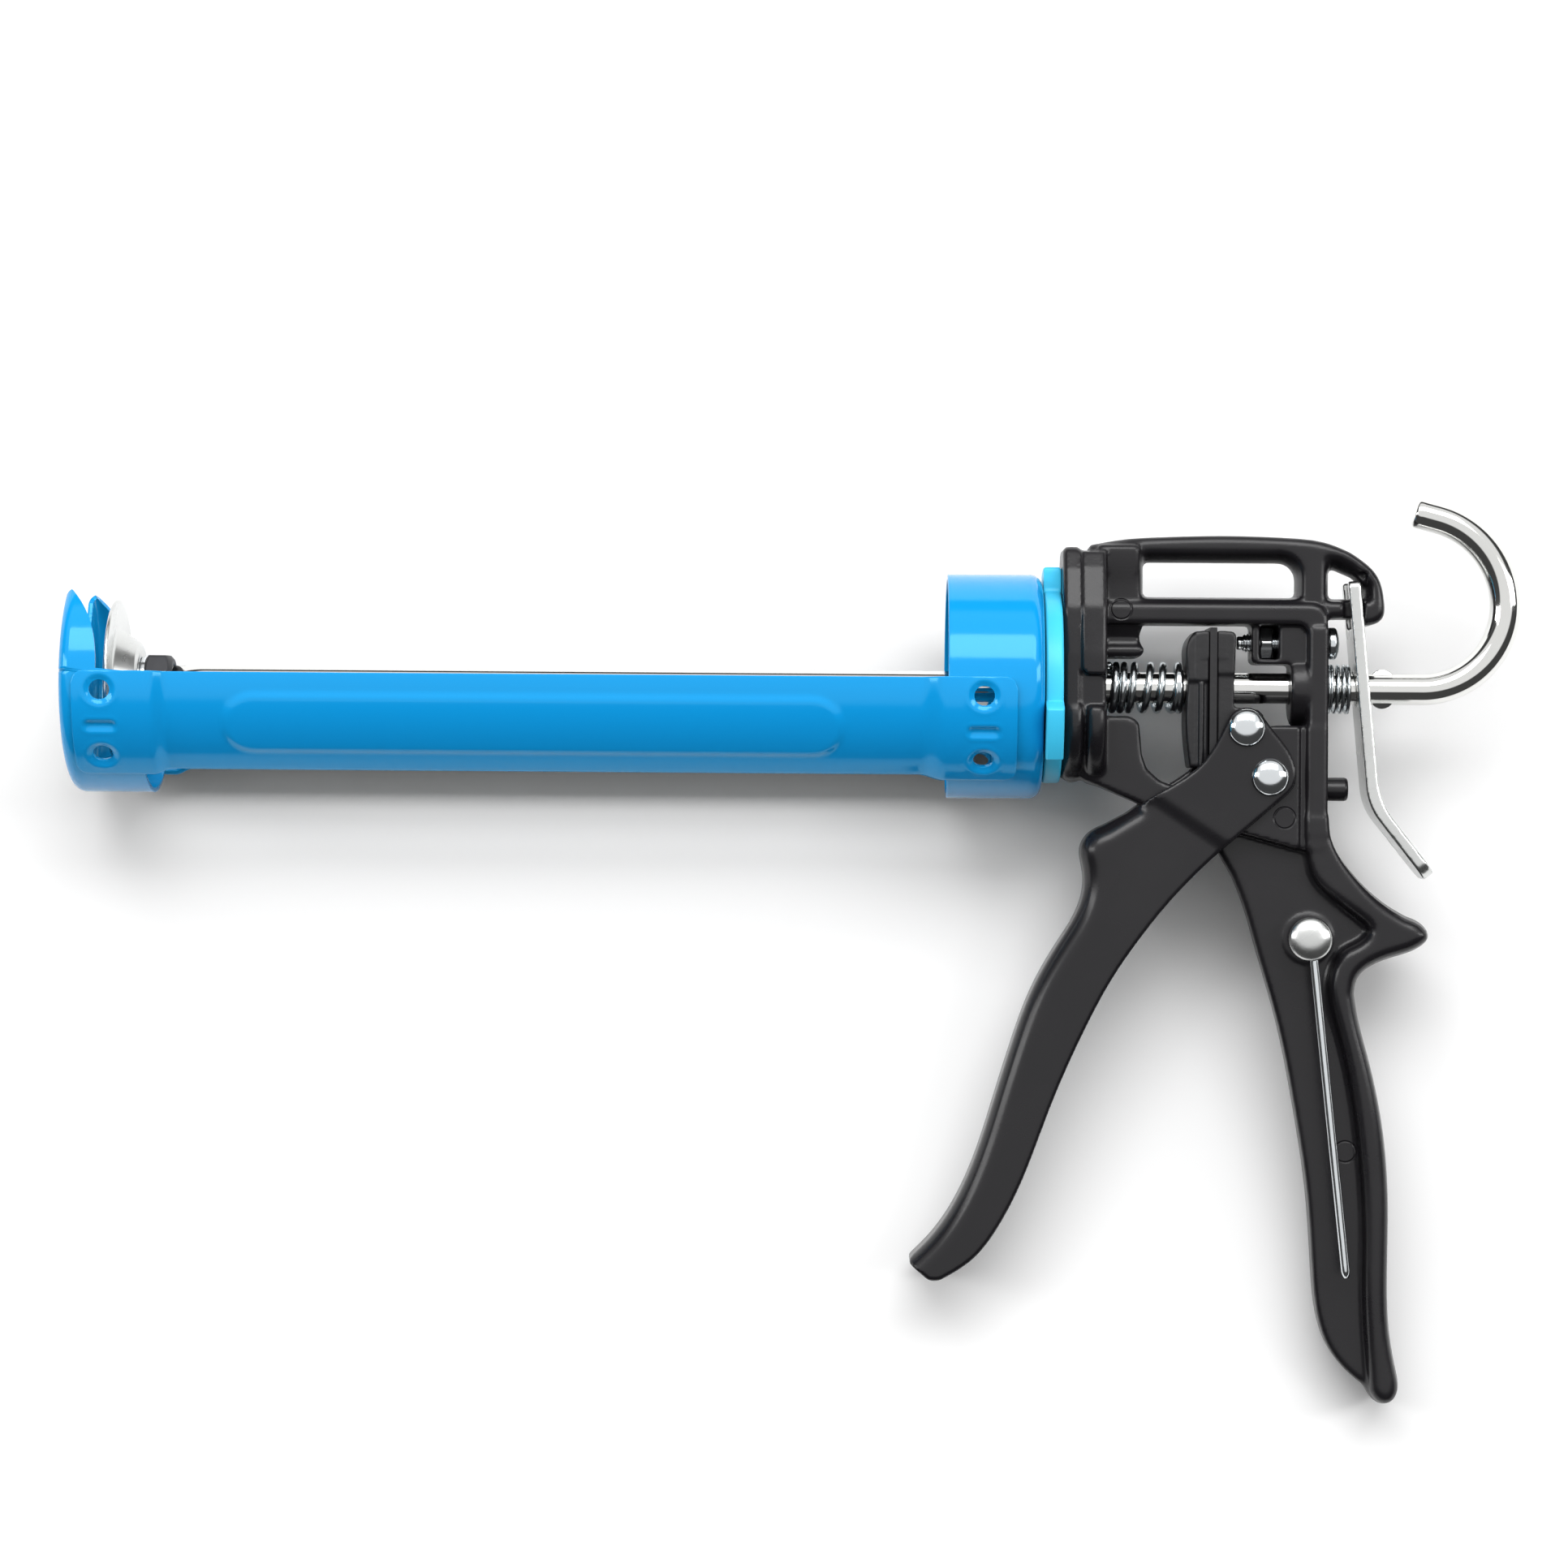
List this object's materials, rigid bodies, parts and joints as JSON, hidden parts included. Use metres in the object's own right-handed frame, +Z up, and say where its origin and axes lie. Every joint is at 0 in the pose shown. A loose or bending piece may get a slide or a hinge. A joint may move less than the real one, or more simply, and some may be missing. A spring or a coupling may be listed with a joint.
{
  "type": "caulking gun",
  "caption": "Cradle-type caulking gun with a swivelling sheet-metal carriage, hooked push rod, die-cast body with top handle, squeeze trigger and thumb release.",
  "frame": {"origin": "centre of the lowest plane, as the gun lies on its side", "axes": "+X along the push rod towards its hook, +Y towards the top handle, +Z up from the surface it lies on"},
  "size_m": [0.3738, 0.2326, 0.0605],
  "materials": {
    "blue_enamel": "gloss enamel over pressed steel sheet",
    "turquoise_plastic": "moulded plastic, slightly translucent",
    "black_casting": "satin black powder coat on a die casting",
    "black_trigger": "satin black powder coat on pressed steel",
    "black_driver": "satin black coat on cast blocks",
    "zinc_plate": "bright zinc plating on pressed steel",
    "zinc_fastener": "bright zinc plating on turned and headed parts",
    "bright_rod": "bright plated round bar",
    "spring_wire": "plated spring wire",
    "black_oxide": "black oxide on steel"
  },
  "bodies": {
    "frame": {"body_casting": "black_casting", "carrier_washer": "zinc_plate", "carrier_retaining_nut": "zinc_fastener", "adjusting_screw": "zinc_fastener", "adjusting_nut": "zinc_fastener", "lever_stop_peg": "black_oxide", "trigger_pivot_rivet": "zinc_fastener", "piercing_pin_rivet": "zinc_fastener", "main_spring": "spring_wire", "release_spring": "spring_wire"},
    "carriage": {"front_cap": "blue_enamel", "rear_cap": "blue_enamel", "cradle_rail_near": "blue_enamel", "cradle_rail_far": "blue_enamel"},
    "lock_ring": {"swivel_lock_ring": "turquoise_plastic"},
    "trigger": {"trigger_shell": "black_trigger", "driver_rivet": "zinc_fastener"},
    "driver": {"driver_front_half": "black_driver", "driver_rear_half": "black_driver", "grip_plate": "black_driver"},
    "release_lever": {"release_lever": "zinc_plate"},
    "plunger": {"plunger_disc": "zinc_plate", "plunger_washer": "zinc_plate"},
    "rod": {"push_rod": "bright_rod", "plunger_nut": "black_oxide", "plunger_front_nut": "black_oxide"},
    "piercing_pin": {"piercing_pin": "bright_rod"}
  },
  "joints": [
    {"name": "carriage_swivel", "type": "hinge", "parent": "frame", "child": "carriage", "pos_m": [0.0631, 0.06706, 0.0303], "axis": [1, 0, 0], "continuous": true},
    {"name": "lock_ring_turn", "type": "hinge", "parent": "frame", "child": "lock_ring", "pos_m": [0.0661, 0.06706, 0.0303], "axis": [1, 0, 0], "range_deg": [0, 60]},
    {"name": "rod_slide", "type": "slide", "parent": "frame", "child": "plunger", "axis": [1, 0, 0], "range_m": [0, 0.21]},
    {"name": "rod_turn", "type": "hinge", "parent": "plunger", "child": "rod", "pos_m": [-0.1669, 0.06706, 0.0303], "axis": [1, 0, 0], "range_deg": [-150, 150]},
    {"name": "trigger_squeeze", "type": "hinge", "parent": "frame", "child": "trigger", "pos_m": [0.1216, 0.04421, 0.02769], "axis": [0, -0.1137, 0.9935], "range_deg": [0, 26], "stiffness_Nm_per_rad": 0.5, "springref_deg": -28.65},
    {"name": "driver_slide", "type": "slide", "parent": "frame", "child": "driver", "axis": [-1, 0, 0], "range_m": [0, 0.005], "deforming": ["main_spring"]},
    {"name": "release_lever_press", "type": "hinge", "parent": "frame", "child": "release_lever", "pos_m": [0.1452, 0.08673, 0.03256], "axis": [0, 0.1137, -0.9935], "range_deg": [0, 4.7], "stiffness_Nm_per_rad": 0.5, "springref_deg": -5.73, "deforming": ["release_spring"]},
    {"name": "piercing_pin_swing", "type": "hinge", "parent": "frame", "child": "piercing_pin", "pos_m": [0.1322, 0.00318, 0.02299], "axis": [0, -0.1137, 0.9935], "range_deg": [0, 100]}
  ],
  "couplings": [
    {"joint": "driver_slide", "follows": "trigger_squeeze", "m_per_rad": 0.010812}
  ]
}
